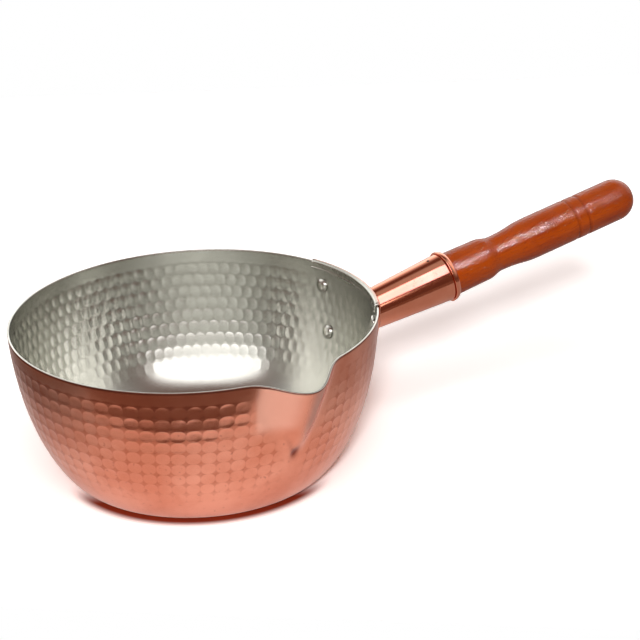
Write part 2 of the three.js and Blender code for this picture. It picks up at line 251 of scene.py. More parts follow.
# Painted shade: the crease and the pinch by the lip's foot are painted dark, fully so where they
# are about this deep.
crease_shade = np.clip(creases / dark_crease, 0, 1)
bare = [np.zeros((len(part), angles.shape[1])) for part in (underside, rim, floor_inside)]
pan_masks = {"tinned": tinned, "rim_shade": rim_shade}
for mask, values, within in (("struck", struck, 1), ("flank_highlight", flank_highlight, 0), ("keel", keel, 0),
                             ("crease_shade", crease_shade, 0)):
    pan_masks[mask] = np.concatenate([bare[0], values, bare[1], values[::-1] * within, bare[2]])
pan_body = piece_mesh("hammered_pan", [pan_grid], masks=pan_masks)


def node(tree, kind, inputs=None, **settings):
    """New node in a tree, with settings, and with inputs set to values or linked from sockets."""
    made = tree.nodes.new(kind)
    for key, value in settings.items():
        setattr(made, key, value)
    for key, value in (inputs or {}).items():
        if isinstance(value, bpy.types.NodeSocket):
            tree.links.new(value, made.inputs[key])
        else:
            made.inputs[key].default_value = value
    return made


def sums(tree, operation, first, second=0.0, third=0.0):
    """Output of a Math node."""
    inputs = {0: first, 1: second, 2: third}
    return node(tree, "ShaderNodeMath", inputs, operation=operation).outputs[0]


def times(tree, first, second):
    """Product of two values."""
    return sums(tree, "MULTIPLY", first, second)


def uneven(tree, share, least, more):
    """Roughness of a finish: its least, and what a share from 0 to 1 adds to it."""
    return sums(tree, "MULTIPLY_ADD", share, more, least)


def blend(tree, share, first, second):
    """Output of a colour Mix node: first at share 0, second at share 1."""
    inputs = {0: share, 6: first, 7: second}
    return node(tree, "ShaderNodeMix", inputs, data_type="RGBA").outputs[2]


def spread(tree, value, low, high, out_low=0.0, out_high=1.0):
    """Output of a smooth Map Range node."""
    inputs = {0: value, 1: low, 2: high, 3: out_low, 4: out_high}
    return node(tree, "ShaderNodeMapRange", inputs, interpolation_type="SMOOTHSTEP").outputs[0]


def noise(tree, vector, scale, detail, **others):
    """Output of a noise."""
    inputs = {"Vector": vector, "Scale": scale, "Detail": detail, **others}
    return node(tree, "ShaderNodeTexNoise", inputs).outputs[0]


def mask_of(tree, name):
    """Value of one of the mesh's own masks."""
    return node(tree, "ShaderNodeAttribute", attribute_name=name).outputs["Fac"]


def relief(tree, height, distance, strength=1.0):
    """Normal of a surface raised by a height."""
    inputs = {"Strength": strength, "Distance": distance, "Height": height}
    return node(tree, "ShaderNodeBump", inputs).outputs[0]


def new_group(name, inputs, outputs):
    """Shader node group with named sockets, and its input and output nodes."""
    tree = bpy.data.node_groups.new(name, "ShaderNodeTree")
    for label, kind, value in inputs:
        socket = tree.interface.new_socket(label, in_out="INPUT", socket_type=kind)
        if value is not None:
            socket.default_value = value
    for label, kind in outputs:
        tree.interface.new_socket(label, in_out="OUTPUT", socket_type=kind)
    return tree, tree.nodes.new("NodeGroupInput"), tree.nodes.new("NodeGroupOutput")


def new_material(name):
    """Empty material and its tree, with the Principled shader, its output and the Object
    coordinates."""
    made = bpy.data.materials.new(name)
    made.use_nodes = True
    tree = made.node_tree
    tree.nodes.clear()
    shader = tree.nodes.new("ShaderNodeBsdfPrincipled")
    result = tree.nodes.new("ShaderNodeOutputMaterial")
    tree.links.new(shader.outputs[0], result.inputs[0])
    return made, tree, shader, tree.nodes.new("ShaderNodeTexCoord").outputs["Object"]


def set_shader(tree, shader, **inputs):
    """Sets or links the shader's sockets, named with underscores for spaces."""
    for key, value in inputs.items():
        socket = shader.inputs[key.replace("_", " ").title()]
        if isinstance(value, bpy.types.NodeSocket):
            tree.links.new(value, socket)
        else:
            socket.default_value = value


# Worked metal is never even: cloudy where it was wiped, with fine lines from polishing.
worked, entry, leave = new_group(
    "worked_metal",
    [("Vector", "NodeSocketVector", None), ("Cloud Scale", "NodeSocketFloat", 25.0),
     ("Line Scale", "NodeSocketFloat", 900.0)],
    [("Cloud", "NodeSocketFloat"), ("Lines", "NodeSocketFloat"), ("Specks", "NodeSocketFloat")],
)
cloud = noise(worked, entry.outputs[0], entry.outputs[1], 5.0, Roughness=0.6)
lines = noise(worked, entry.outputs[0], entry.outputs[2], 3.0)
specks = noise(worked, entry.outputs[0], 420.0, 1.0)
worked.links.new(spread(worked, cloud, 0.32, 0.68), leave.inputs[0])
worked.links.new(lines, leave.inputs[1])
worked.links.new(spread(worked, specks, 0.7, 0.78), leave.inputs[2])


def use_worked(tree, vector, cloud_scale, line_scale):
    """The worked metal group placed in a material."""
    inputs = {"Vector": vector, "Cloud Scale": cloud_scale, "Line Scale": line_scale}
    return node(tree, "ShaderNodeGroup", inputs, node_tree=worked).outputs


copper_bright, copper_deep = (0.84, 0.37, 0.255, 1), (0.70, 0.25, 0.152, 1)
# The seam colours are painted shade: dark colours laid along the lines where the hammer marks meet,
# on the copper and on the tin.
copper_struck, copper_seam_shade = (0.64, 0.215, 0.125, 1), (0.42, 0.10, 0.05, 1)
copper_speck = (0.25, 0.06, 0.04, 1)
tin_bright, tin_dull = (0.667, 0.669, 0.625, 1), (0.577, 0.579, 0.535, 1)
tin_seam_shade = (0.36, 0.35, 0.31, 1)
struck_share, copper_seam_shade_share, speck_share, tin_seam_shade_share = 0.3, 0.5, 0.35, 0.35
seam_from, seam_full = 0.82, 1.2
copper_seam_height, tin_seam_height, line_height = 0.07e-3, -0.055e-3, 0.006e-3
pan_metal, tree, shader, where = new_material("hammered_copper_tinned_inside")
cloud, lines, specks = use_worked(tree, where, 22.0, 1100.0)
coat, struck = mask_of(tree, "tinned"), mask_of(tree, "struck")
axes = node(tree, "ShaderNodeSeparateXYZ", {0: where}).outputs
turned = sums(tree, "SUBTRACT", sums(tree, "ARCTAN2", axes[1], axes[0]), mark_start)
column = times(tree, sums(tree, "SINE", turned), -crowded_columns / (2 * np.pi))
column = sums(tree, "MULTIPLY_ADD", turned, mark_columns / (2 * np.pi), column)
slide = sums(tree, "MULTIPLY_ADD", axes[2], -1000 * mark_slant, mark_slant * mark_middle)
row = sums(tree, "MULTIPLY_ADD", axes[2], -1000 / mark_pitch, mark_top / mark_pitch)
second = sums(tree, "FLOORED_MODULO", sums(tree, "FLOOR", row), 2.0)
bricked = spread(tree, sums(tree, "COSINE", turned), brick_from, -brick_from, 0.0, 0.5)
slide = sums(tree, "MULTIPLY_ADD", second, bricked, slide)
column = sums(tree, "FLOORED_MODULO", sums(tree, "ADD", column, slide), float(mark_columns))
powers = []
for at in (column, row):
    half = sums(tree, "MULTIPLY_ADD", sums(tree, "FLOORED_MODULO", at, 1.0), 2.0, -1.0)
    powers.append(sums(tree, "POWER", sums(tree, "ABSOLUTE", half), mark_round))
from_middle = sums(tree, "ADD", *powers)
dish = sums(tree, "POWER", sums(tree, "MINIMUM", from_middle, 1.0), 4 / mark_round)
dish = times(tree, dish, struck)
# Painted shade along the lines between the marks.
seam_shade = times(tree, spread(tree, from_middle, seam_from, seam_full), struck)
cell = {0: sums(tree, "FLOOR", column), 1: sums(tree, "FLOOR", row)}
cell = node(tree, "ShaderNodeCombineXYZ", cell).outputs[0]
shade = node(tree, "ShaderNodeTexWhiteNoise", {"Vector": cell}, noise_dimensions="2D").outputs[0]
shade = times(tree, times(tree, shade, struck), struck_share)
copper_tone = blend(tree, cloud, copper_bright, copper_deep)
copper_tone = blend(tree, shade, copper_tone, copper_struck)
copper_tone = blend(tree, times(tree, seam_shade, copper_seam_shade_share), copper_tone, copper_seam_shade)
copper_tone = blend(tree, times(tree, specks, speck_share), copper_tone, copper_speck)
# Painted light and shade on the outside: a bright reflection on the lip's flank, a grey reflection
# along its keel, shade in the crease and a dark line under the rim.
for mask, share, tone in (("flank_highlight", 0.75, (0.93, 0.50, 0.38, 1)),
                          ("keel", 0.75, (0.56, 0.30, 0.235, 1)),
                          ("crease_shade", 0.95, (0.20, 0.042, 0.028, 1)),
                          ("rim_shade", 0.9, (0.16, 0.04, 0.025, 1))):
    copper_tone = blend(tree, times(tree, mask_of(tree, mask), share), copper_tone, tone)
tin_tone = blend(tree, cloud, tin_bright, tin_dull)
tin_tone = blend(tree, times(tree, seam_shade, tin_seam_shade_share), tin_tone, tin_seam_shade)
rough_copper = uneven(tree, cloud, least=0.17, more=0.06)
rough_copper = uneven(tree, mask_of(tree, "keel"), least=rough_copper, more=0.25)
rough_tin = uneven(tree, cloud, least=0.21, more=0.05)
rough = node(tree, "ShaderNodeMix", {0: coat, 2: rough_copper, 3: rough_tin}).outputs[0]
seam_height = {0: coat, 2: copper_seam_height, 3: tin_seam_height}
seam_height = node(tree, "ShaderNodeMix", seam_height).outputs[0]
height = sums(tree, "MULTIPLY_ADD", dish, seam_height, times(tree, lines, line_height))
set_shader(tree, shader, base_color=blend(tree, coat, copper_tone, tin_tone), metallic=1.0,
           roughness=rough, normal=relief(tree, height, distance=1.0))
pan_body.data.materials.append(pan_metal)
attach(pan_body, "root")
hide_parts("pan_body")

# Handle bracket: a plate of copper sheet bent to the wall's curve and folded over the rim.
# Its hook was tinned with the pan's inside, and its outside is bare copper.
gap, plate = 0.3, 0.9
bracket_width, bracket_foot, bracket_depth = 88.0, 40.0, 50.0
bracket_side, bracket_taper, hook_depth = 7.0, 2.2, 4.5
bead_height, bead_station, bead_width = 0.4, 0.85, 0.45
fine_share, edge_highlight_width, tin_end = 0.3, (0.25, 0.8), (1.2, 3.4)


def wall_normal(place):
    """Outward normal of the wall profile: its direction turned a quarter."""
    step = 1e-4
    along = wall_profile(place + step) - wall_profile(place - step)
    along /= np.linalg.norm(along, axis=-1, keepdims=True)
    return np.stack([along[..., 1], -along[..., 0]], -1)


def plate_edges(length, middle):
    """Stations along a length that crowd in half a plate's thickness at both ends, for a rounded
    edge."""
    crowd = plate / 2 * (1 - np.cos(np.linspace(0, np.pi / 2, 6)))
    length = np.asarray(length, float)[..., None]
    between = plate / 2 + (length - plate) * middle
    return np.concatenate([crowd + 0 * length, between, length - crowd[::-1]], -1)


def round_edge(distance):
    """Share of the thickness at a distance from the plate's edge, along a quarter circle."""
    return np.sqrt(1 - (1 - np.clip(distance / (plate / 2), 0, 1)) ** 2)


fold = (pan_wall + 2 * gap + plate) / 2
fold_place = place_at(pan_height + gap + plate / 2 - fold)
flap = np.linspace(place_at(pan_height - hook_depth), fold_place, 30)
bend = np.linspace(0, np.pi, 40)[1:-1, None]
climb = np.linspace(fold_place, place_at(pan_height - bracket_depth), 300)
outward = wall_normal(fold_place)
upward = np.array([-outward[1], outward[0]])
upward *= np.sign(upward[1])
bent = np.cos(bend) * -outward + np.sin(bend) * upward
path = np.concatenate([
    wall_profile(flap) - (pan_wall + gap + plate / 2) * wall_normal(flap),
    wall_profile(fold_place) - pan_wall / 2 * outward + fold * bent,
    wall_profile(climb) + (gap + plate / 2) * wall_normal(climb),
])
facing = np.concatenate([-wall_normal(flap), bent, wall_normal(climb)])
run = np.concatenate([[0], np.cumsum(np.linalg.norm(np.diff(path, axis=0), axis=1))])

half_width, half_foot = bracket_width / 2, bracket_foot / 2
across = plate_edges(bracket_width, np.linspace(0, 1, 72)[1:-1]) - half_width
beside = np.clip((np.abs(across) - half_foot) / (half_width - half_foot), 0, 1)
depth = bracket_depth + (bracket_side - bracket_depth) * beside ** bracket_taper
length = np.interp(depth - pan_height, -wall_profile(climb)[:, 1], run[-len(climb):])
fine, coarse = np.linspace(0, fine_share, 40)[1:], np.linspace(fine_share, 1, 40)[1:-1]
stations = plate_edges(length, np.concatenate([fine, coarse]))
from_end, from_side = length[:, None] - stations, (half_width - np.abs(across))[:, None]
half = plate / 2 * round_edge(stations) * round_edge(from_end) * round_edge(from_side)
line = np.stack([np.interp(stations, run, path[:, k]) for k in (0, 1)], -1)
face = np.stack([np.interp(stations, run, facing[:, k]) for k in (0, 1)], -1)


def turned_about_z(profile, angle):
    """Points of radius and height turned to an angle about Z."""
    radius, height = profile[..., 0], profile[..., 1]
    return np.stack([radius * np.cos(angle), radius * np.sin(angle), height], -1)


turn = (across / rim_radius)[:, None]
bead = bead_height * np.exp(-((stations - bead_station) / bead_width) ** 2) * round_edge(from_side)
outer_face = turned_about_z(line + face * (half + bead)[..., None], turn)
inner_face = turned_about_z(line - face * half[..., None], turn)
# Painted highlight: the tin is painted near white along the plate's edges, within this distance of
# them.
edge = 1 - ease(*edge_highlight_width, np.minimum(np.minimum(stations, from_end), from_side))
hook_top = run[len(flap)]
hooked = 1 - ease(hook_top + tin_end[0], hook_top + tin_end[1], stations)
bracket_masks = {mask: np.concatenate([values.ravel(), values[:, ::-1].ravel()])
                 for mask, values in (("tinned", hooked), ("edge", edge))}
bracket = piece_mesh("hooked_bracket", [outer_face, inner_face[:, ::-1]], wrap_columns=False,
                     masks=bracket_masks)

hook_bright, hook_dull = (0.66, 0.65, 0.595, 1), (0.55, 0.54, 0.49, 1)
hook_edge_highlight, bracket_speck_share = (0.97, 0.96, 0.92, 1), 0.4
bracket_metal, tree, shader, where = new_material("bracket_copper_tinned_hook")
cloud, lines, specks = use_worked(tree, where, 35.0, 1300.0)
copper_tone = blend(tree, cloud, copper_bright, copper_deep)
copper_tone = blend(tree, times(tree, specks, bracket_speck_share), copper_tone, copper_speck)
tin_tone = blend(tree, cloud, hook_bright, hook_dull)
# The painted highlight along the hook's edges.
tin_tone = blend(tree, mask_of(tree, "edge"), tin_tone, hook_edge_highlight)
set_shader(tree, shader, base_color=blend(tree, mask_of(tree, "tinned"), copper_tone, tin_tone),
           metallic=1.0, roughness=uneven(tree, cloud, least=0.20, more=0.08),
           normal=relief(tree, lines, distance=0.0002, strength=0.15))
bracket.data.materials.append(bracket_metal)
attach(bracket, "root")
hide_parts("handle_bracket")

# Rivets: soft copper pins with a domed head inside the pan, pushed through wall and bracket.
# Their tails are peened over outside, and the heads were tinned with the pan's inside.
shank, head_radius, head_height, tail_radius, tail_height = 1.9, 4.5, 2.2, 2.9, 1.6
head_fullness, tail_fullness, head_gap, rivet_sides = 0.75, 0.6, 0.1, 40
seat_shade_height, seat_shade_share = 0.5, 0.85


def turned_on_axis(outline, origin, axis, sides):
    """Outline of radius and station turned about an axis that starts at an origin."""
    axis = np.asarray(axis, float)
    side = np.cross(axis, [0.0, 0.0, 1.0])
    side /= np.linalg.norm(side)
    other = np.cross(side, axis)
    spin = -np.linspace(0, 2 * np.pi, sides, endpoint=False)[:, None]
    ring = np.cos(spin) * side + np.sin(spin) * other
    return np.asarray(origin) + outline[:, None, 1:] * axis + outline[:, None, :1] * ring


dome = np.linspace(np.pi / 2, 0.06, 12)
head_seat, tail_seat = -pan_wall - head_gap, gap + plate
head = head_radius * np.cos(dome) ** head_fullness, head_seat - head_height * np.sin(dome)
tail = tail_radius * np.cos(dome) ** tail_fullness, tail_seat + tail_height * np.sin(dome)
rivet_outline = np.concatenate([
    np.stack(head, -1),
    [(head_radius, head_seat), (shank, head_seat), (shank, tail_seat), (tail_radius, tail_seat)],
    np.stack(tail, -1)[::-1],
])
# Painted shade: the heads and tails are painted dark close to where they sit on the metal, in a
# band about this tall.
above_seat = np.maximum(head_seat - rivet_outline[:, 1], rivet_outline[:, 1] - tail_seat)
rivet_seat_shade = np.exp(-(np.maximum(above_seat, 0) / seat_shade_height) ** 2)
rivet_seat_shade = np.repeat(rivet_seat_shade[:, None], rivet_sides, 1)


def from_axis(tree, vector):
    """Distance of a place from the Z axis."""
    level = node(tree, "ShaderNodeVectorMath", {0: vector, 1: (1, 1, 0)}, operation="MULTIPLY")
    away = node(tree, "ShaderNodeVectorMath", {0: level.outputs[0]}, operation="LENGTH")
    return away.outputs["Value"]


head_bright = (0.80, 0.785, 0.73, 1)
# Colours of the painted shade round the seats of the head and of the tail.
head_seat_shade, tail_seat_shade = (0.16, 0.15, 0.13, 1), (0.16, 0.035, 0.02, 1)
wall_low, wall_high, wall_near, wall_far, half_seam = 0.045, 0.083, 0.0990, 0.1050, 0.0005
rivet_metal, tree, shader, where = new_material("tinned_rivet_head")
cloud, _, _ = use_worked(tree, where, 160.0, 1500.0)
wall_here = {0: node(tree, "ShaderNodeSeparateXYZ", {0: where}).outputs[2],
             1: wall_low, 2: wall_high, 3: wall_near, 4: wall_far}
wall_here = node(tree, "ShaderNodeMapRange", wall_here).outputs[0]
beyond_wall = sums(tree, "SUBTRACT", from_axis(tree, where), wall_here)
tail_side = spread(tree, beyond_wall, -half_seam, half_seam)
# The painted shade darkens the head's tin and the tail's copper near their seats.
seat_shade = times(tree, mask_of(tree, "seat_shade"), seat_shade_share)
tin_tone = blend(tree, seat_shade, blend(tree, cloud, head_bright, tin_bright), head_seat_shade)
tail_tone = blend(tree, seat_shade, blend(tree, cloud, copper_bright, copper_deep), tail_seat_shade)
set_shader(tree, shader, base_color=blend(tree, tail_side, tin_tone, tail_tone), metallic=1.0,
           roughness=uneven(tree, cloud, least=0.13, more=0.06),
           normal=relief(tree, cloud, distance=0.0003, strength=0.06))
for level, spread_round, depth in (("upper", 70.0, 14.0), ("lower", 52.0, 41.0)):
    for side, sign in (("left", 1), ("right", -1)):
        turn = sign * spread_round / 2 / rim_radius
        place = place_at(pan_height - depth)
        origin = turned_about_z(wall_profile(place), turn)
        axis = turned_about_z(wall_normal(place), turn)
        rivet_grid = turned_on_axis(rivet_outline, origin, axis, rivet_sides)
        rivet = piece_mesh(f"rivet_{level}_{side}_tinned", [rivet_grid],
                           masks={"seat_shade": rivet_seat_shade})
        rivet.data.materials.append(rivet_metal)
        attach(rivet, "root")
        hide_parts(f"rivet_{level}_{side}")

# Handle socket: a cone rolled from copper sheet, brazed to the bracket at its root and polished.
# It takes the handle's tenon, and its axis climbs away from the wall.
tilt, root_depth, sides = np.radians(12.5), 23.5, 144
socket_length, root_radius, mouth_radius, socket_wall = 61.2, 11.5, 15.0, 1.0
braze, braze_height, braze_hollow, braze_sink, mouth_edge = 1.8, 0.7, 2.2, 0.1, 0.3
handle_axis = np.array([np.cos(tilt), 0, np.sin(tilt)])
root = wall_profile(place_at(pan_height - root_depth))
handle_root = np.array([root[0], 0, root[1]])


def socket_radius(station):
    """Outside radius of the cone at a station along the handle."""
    return root_radius + (mouth_radius - root_radius) * station / socket_length


spin = -np.linspace(0, 2 * np.pi, sides, endpoint=False)
side_way, up_way = np.array([0.0, -1.0, 0.0]), np.array([-np.sin(tilt), 0, np.cos(tilt)])
ring = np.cos(spin)[:, None] * side_way + np.sin(spin)[:, None] * up_way
seat = wall_profile(even_places) + (gap + plate - braze_sink) * wall_normal(even_places)


def root_station(inset):
    """Station at which the cone meets the bracket, for each direction round the axis, found by
    halving."""
    low, high = np.full(sides, -2 * root_radius), np.full(sides, 2 * root_radius)
    for _ in range(30):
        middle = (low + high) / 2
        reach = (socket_radius(middle) - inset)[:, None] * ring
        at = handle_root + middle[:, None] * handle_axis + reach
        outside_it = np.hypot(at[:, 0], at[:, 1]) > np.interp(at[:, 2], seat[:, 1], seat[:, 0])
        low, high = np.where(outside_it, low, middle), np.where(outside_it, middle, high)
    return high


foot_share, cone_share = 0.03, 0.985
share = np.concatenate([np.linspace(0, 1, 9)[:-1] * foot_share,
                        np.linspace(foot_share, cone_share, 40), [0.99, 0.995, 0.998, 1]])
starts, bore_starts = root_station(0), root_station(socket_wall)
along = starts + (socket_length - starts) * share[:, None]
fillet = np.clip(1 - (along - starts) / braze, 0, 1)
edge = np.clip(1 - (socket_length - along) / mouth_edge, 0, 1)
reach = socket_radius(along) + braze_height * braze * fillet ** braze_hollow
reach = reach - mouth_edge * (1 - np.sqrt(1 - edge ** 2))
bore = bore_starts + (socket_length - bore_starts) * np.array([1, 0.5, 0])[:, None]
along = np.concatenate([along, bore])
reach = np.concatenate([reach, socket_radius(bore) - socket_wall])
socket_grid = handle_root + along[..., None] * handle_axis + reach[..., None] * ring
socket = piece_mesh("polished_socket", [socket_grid], wrap_rows=True)


def turned_level(tree, vector):
    """Places turned so that the handle's axis lies along X."""
    return node(tree, "ShaderNodeMapping", {"Vector": vector, "Rotation": (0, tilt, 0)}).outputs[0]


def grain(tree, vector, scale, detail, **others):
    """Noise drawn out along X, with a scale for each axis."""
    drawn = node(tree, "ShaderNodeMapping", {"Vector": vector, "Scale": scale}).outputs[0]
    return noise(tree, drawn, 1.0, detail, **others)


polished_bright, polished_deep = (0.86, 0.34, 0.215, 1), (0.80, 0.285, 0.17, 1)
socket_speck_share = 0.25
socket_metal, tree, shader, where = new_material("polished_copper")
cloud, _, specks = use_worked(tree, where, 45.0, 900.0)
drawn = grain(tree, turned_level(tree, where), (12, 700, 700), 2.0)
copper_tone = blend(tree, cloud, polished_bright, polished_deep)
copper_tone = blend(tree, times(tree, specks, socket_speck_share), copper_tone, copper_speck)
set_shader(tree, shader, base_color=copper_tone, metallic=1.0,
           roughness=uneven(tree, cloud, least=0.10, more=0.05),
           normal=relief(tree, drawn, distance=0.0002, strength=0.06))
socket.data.materials.append(socket_metal)
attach(socket, "root")
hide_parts("handle_socket")

# Ferrule ring: a turned copper ring pushed over the wood against the socket's mouth.
# It stands a little proud of the socket, with a dark line between the two.
ring_width, ring_proud, ring_edge, ring_seam = 3.8, 1.1, 0.5, 1
near_corner, far_corner = 0.4, 0.3


def rounded(corners, radius):
    """Outline of straight lines whose inner corners are rounded: each corner becomes a short curve
    that starts and ends its radius, or a part of the line, before and after it."""
    steps, most = 5, 0.45
    corners = np.asarray(corners, float)
    before, corner, after = corners[:-2], corners[1:-1], corners[2:]
    t = np.linspace(0, 1, steps)[None, :, None]
    ends = []
    for other in (before, after):
        reach = np.linalg.norm(other - corner, axis=1, keepdims=True)
        end = corner + (other - corner) / reach * np.minimum(radius, most * reach)
        ends.append(end[:, None])
    curve = ends[0] * (1 - t) ** 2 + 2 * corner[:, None] * t * (1 - t) + ends[1] * t ** 2
    return np.concatenate([corners[:1], curve.reshape(-1, 2), corners[-1:]])


ring_inner, ring_outer = mouth_radius - socket_wall, mouth_radius + ring_proud
ring_near = socket_length + gap
ring_far = ring_near + ring_width
crown = [(ring_outer, ring_near + ring_edge), (ring_outer, ring_near + ring_width / 2),
         (ring_inner + 2 * ring_edge, ring_far), (ring_inner + ring_edge, ring_far)]
crown = bezier(crown, np.linspace(0, 1, 18))
bore_end = (ring_inner, ring_near + ring_seam)
near_face = [bore_end, (ring_inner, ring_near), (ring_outer, ring_near), crown[0]]
ring_outline = np.concatenate([
    rounded(near_face, near_corner)[:-1],
    crown,
    rounded([crown[-1], (ring_inner, ring_far), bore_end], far_corner)[1:-1],
])
ring_grid = turned_on_axis(ring_outline, handle_root, handle_axis, sides)
ferrule = piece_mesh("ferrule_band", [ring_grid], wrap_rows=True)
ferrule.data.materials.append(socket_metal)
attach(ferrule, "root")
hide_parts("ferrule_ring")

# Wooden handle: turned from one straight-grained billet, stained red-brown and varnished.
# Its tenon fills the socket, and two grooves were cut round the grip.
tenon_length, tenon_taper, handle_length = 36.2, 2, 139.05
collar_taper, collar_length = 0.5, 26.8
waist_radius, waist_station, grip_radius, grip_station = 11.2, 38.3, 13.2, 65.8
butt_length, butt_fullness, groove_from_butt, groove_pitch = 13.0, 0.9, 38.0, 8.0
groove_width, groove_depth, groove_bell = 1.9, 0.85, 0.42
mouth, butt = socket_length, socket_length + handle_length
collar_radius = mouth_radius - socket_wall - gap
collar_end = (collar_radius - collar_taper, mouth + collar_length)
waist, grip = (waist_radius, mouth + waist_station), (grip_radius, mouth + grip_station)


def flowing(start, end):
    """Curve between two points of an outline, level with the axis at both."""
    step = (end[1] - start[1]) / 2
    corners = [start, (start[0], start[1] + step), (end[0], end[1] - step), end]
    return bezier(corners, np.linspace(0, 1, 24))


body = np.linspace(grip[1], butt - butt_length, 170)[1:]
grooves = np.zeros_like(body)
for centre in (butt - groove_from_butt - groove_pitch, butt - groove_from_butt):
    grooves += groove_depth * np.exp(-((body - centre) / (groove_bell * groove_width)) ** 2)
shoulder = np.linspace(0, np.pi / 2, 22)[1:]
butt_radii = grip_radius * np.cos(shoulder) ** butt_fullness
butt_stations = butt - butt_length * (1 - np.sin(shoulder))
tenon_end = mouth - tenon_length
wood_outline = np.concatenate([
    [(0, tenon_end), (collar_radius - tenon_taper, tenon_end), (collar_radius, mouth)],
    flowing(collar_end, waist),
    flowing(waist, grip)[1:],
    np.stack([grip_radius - grooves, body], -1),
    np.stack([butt_radii, butt_stations], -1),
])
wood_outline[-1, 0] = 0
cut = np.zeros(len(wood_outline))
cut[-len(body) - len(shoulder):-len(shoulder)] = grooves / groove_depth
wood_grid = turned_on_axis(wood_outline, handle_root, handle_axis, sides)
wood = piece_mesh("turned_handle", [wood_grid],
                  masks={"groove": np.repeat(cut[:, None], sides, 1)})

wood_light, wood_dark = (0.375, 0.055, 0.0025, 1), (0.28, 0.035, 0.002, 1)
wood_patch, wood_pore = (0.44, 0.078, 0.004, 1), (0.15, 0.018, 0.003, 1)
groove_shade_tone = (0.12, 0.014, 0.002, 1)
patch_share, pore_share, groove_shade_share, pore_depth = 0.3, 0.4, 0.3, -0.15
varnished, tree, shader, where = new_material("varnished_red_brown_wood")
along_handle = turned_level(tree, where)
bands = grain(tree, along_handle, (7, 170, 170), 4.0, Distortion=0.4)
pores = grain(tree, along_handle, (150, 1700, 1700), 2.0)
patches = noise(tree, along_handle, 30.0, 2.0)
peel = noise(tree, along_handle, 850.0, 1.0)
pore = spread(tree, pores, 0.57, 0.68)
patch = times(tree, spread(tree, patches, 0.4, 0.7), patch_share)
tone = blend(tree, spread(tree, bands, 0.35, 0.68), wood_light, wood_dark)
tone = blend(tree, patch, tone, wood_patch)
tone = blend(tree, times(tree, pore, pore_share), tone, wood_pore)
# Painted shade: the wood is painted darker in the two grooves.
tone = blend(tree, times(tree, mask_of(tree, "groove"), groove_shade_share), tone, groove_shade_tone)
height = sums(tree, "MULTIPLY_ADD", pore, pore_depth, peel)
set_shader(tree, shader, base_color=tone, roughness=uneven(tree, peel, least=0.06, more=0.06),
           normal=relief(tree, height, distance=0.0004))
shader.inputs["IOR"].default_value = 1.5
shader.inputs["Specular IOR Level"].default_value = 0.22
wood.data.materials.append(varnished)
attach(wood, "root")
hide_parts("wooden_handle")

# Handle nail: a small steel nail driven through the socket into the tenon, from above.
# Its head is flush with the polished copper and has darkened.
nail_radius, nail_length, nail_inset, nail_proud = 0.95, 12.0, 7.2, 0.06
nail_tip, nail_point, nail_crown, nail_corner, nail_sides = 0.3, 3, 0.05, 0.12, 24
nail_station = socket_length - nail_inset
nail_top = socket_radius(nail_station) + nail_proud
nail_outline = [(0, -nail_length), (nail_tip, -nail_length),
                (nail_radius, -nail_length + nail_point), (nail_radius, 0), (0, nail_crown)]
nail_outline = rounded(nail_outline, nail_corner)
nail_origin = handle_root + nail_station * handle_axis + nail_top * up_way
nail_grid = turned_on_axis(nail_outline, nail_origin, up_way, nail_sides)
nail = piece_mesh("darkened_nail", [nail_grid])
steel_bright, steel_dark = (0.035, 0.022, 0.018, 1), (0.015, 0.008, 0.006, 1)
nail_metal, tree, shader, where = new_material("darkened_steel")
cloud, lines, _ = use_worked(tree, where, 900.0, 2500.0)
set_shader(tree, shader, base_color=blend(tree, cloud, steel_bright, steel_dark), metallic=0.6,
           roughness=uneven(tree, cloud, least=0.45, more=0.2),
           normal=relief(tree, lines, distance=0.0002, strength=0.3))
nail.data.materials.append(nail_metal)
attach(nail, "root")
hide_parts("handle_nail")

# Stage: a sheet of white paper on a dark table, its front edge close before the pan, and a white
# backdrop behind. Soft light falls from overhead in front, and the metal shows a wide front lamp.
# Small lamps serve only the socket and the handle, for the bright lines along them.
photo_turn = np.radians(25)
unturn = np.array([[np.cos(photo_turn), -np.sin(photo_turn), 0],
                   [np.sin(photo_turn), np.cos(photo_turn), 0], [0, 0, 1]])
paper_left, paper_right, paper_far, paper_level = -240, 700, 800, -0.05
front_left, front_right = -140.5, -267.4
paper_grid = np.array([
    [(paper_left, front_left, paper_level), (paper_right, front_right, paper_level)],
    [(paper_left, paper_far, paper_level), (paper_right, paper_far, paper_level)],
]) @ unturn
paper = piece_mesh("paper_floor", [paper_grid], wrap_columns=False)


def turned_to_photo(tree, vector):
    """Places or directions turned about Z so that Y points away from the camera's side."""
    turning = {"Vector": vector, "Rotation": (0, 0, photo_turn)}
    return node(tree, "ShaderNodeMapping", turning).outputs[0]


paper_seen, painted_contact_shadow = (1.5, 1.5, 1.5, 1), (0.24, 0.035, 0.014, 1)
paper_middle, painted_left_shade = (0.97, 0.97, 0.97, 1), (0.18, 0.17, 0.16, 1)
painted_right_shade = (0.50, 0.49, 0.48, 1)
paper_white = bpy.data.materials.new("white_paper")
paper_white.use_nodes = True
tree = paper_white.node_tree
tree.nodes.clear()
seen = node(tree, "ShaderNodeLightPath").outputs
where = turned_to_photo(tree, node(tree, "ShaderNodeTexCoord").outputs["Object"])
sideways, away, _ = node(tree, "ShaderNodeSeparateXYZ", {0: where}).outputs
# Painted shade: for all rays but the camera's, the paper is painted darker towards its left and,
# less so, towards its right.
white = blend(tree, spread(tree, sideways, -0.05, -0.24), paper_middle, painted_left_shade)
white = blend(tree, spread(tree, sideways, 0.07, 0.20), white, painted_right_shade)
